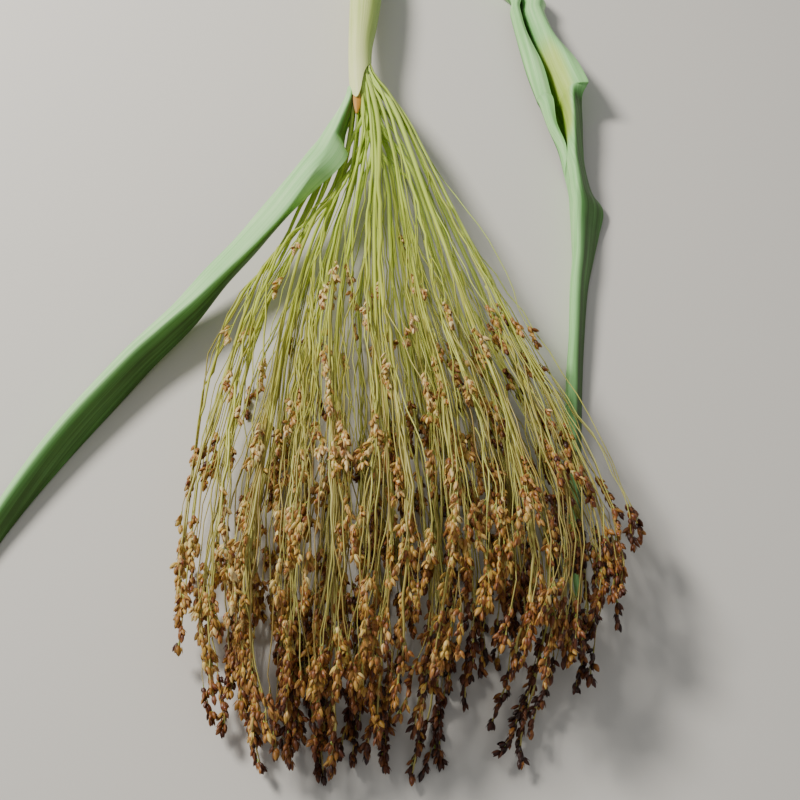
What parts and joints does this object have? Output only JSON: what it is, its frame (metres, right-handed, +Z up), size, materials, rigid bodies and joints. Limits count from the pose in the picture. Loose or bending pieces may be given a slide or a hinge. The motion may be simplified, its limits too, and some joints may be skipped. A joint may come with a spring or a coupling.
{
  "type": "broomcorn sorghum head",
  "caption": "Fan-shaped seed head of broomcorn: long thin branches loaded with small seeds at their outer half, on a cut stalk with two folded leaves, lying flat.",
  "frame": {"origin": "centre of the whole object's box, on the surface that it lies on", "axes": "+Y along the stalk towards its cut end, -Y towards the seed tips, +X to the right seen from the tips, +Z up"},
  "size_m": [0.3184, 0.6896, 0.0625],
  "materials": {
    "stalk": "smooth, pale green to cream, satin",
    "leaf": "waxy blue-green bloom over fine lengthwise veins, satin",
    "brush": "yellow-green strands, husks from cream and ochre to red-brown, satin"
  },
  "bodies": {
    "root": {"stalk": "stalk", "flag_leaf": "leaf", "second_leaf": "leaf", "brush_branch_01": "brush", "brush_branch_02": "brush", "brush_branch_03": "brush", "brush_branch_04": "brush", "brush_branch_05": "brush", "brush_branch_06": "brush", "brush_branch_07": "brush", "brush_branch_08": "brush", "brush_branch_09": "brush", "brush_branch_10": "brush", "brush_branch_11": "brush", "brush_branch_12": "brush", "brush_branch_13": "brush", "brush_branch_14": "brush", "brush_branch_15": "brush", "brush_branch_16": "brush", "brush_branch_17": "brush", "brush_branch_18": "brush", "brush_branch_19": "brush", "brush_branch_20": "brush", "brush_branch_21": "brush", "brush_branch_22": "brush", "brush_branch_23": "brush", "brush_branch_24": "brush", "brush_branch_25": "brush", "brush_branch_26": "brush", "brush_branch_27": "brush", "brush_branch_28": "brush", "brush_branch_29": "brush", "brush_branch_30": "brush", "brush_branch_31": "brush", "brush_branch_32": "brush", "brush_branch_33": "brush", "brush_branch_34": "brush", "brush_branch_35": "brush", "brush_branch_36": "brush", "brush_branch_37": "brush", "brush_branch_38": "brush", "brush_branch_39": "brush", "brush_branch_40": "brush", "brush_branch_41": "brush", "brush_branch_42": "brush"}
  },
  "joints": []
}
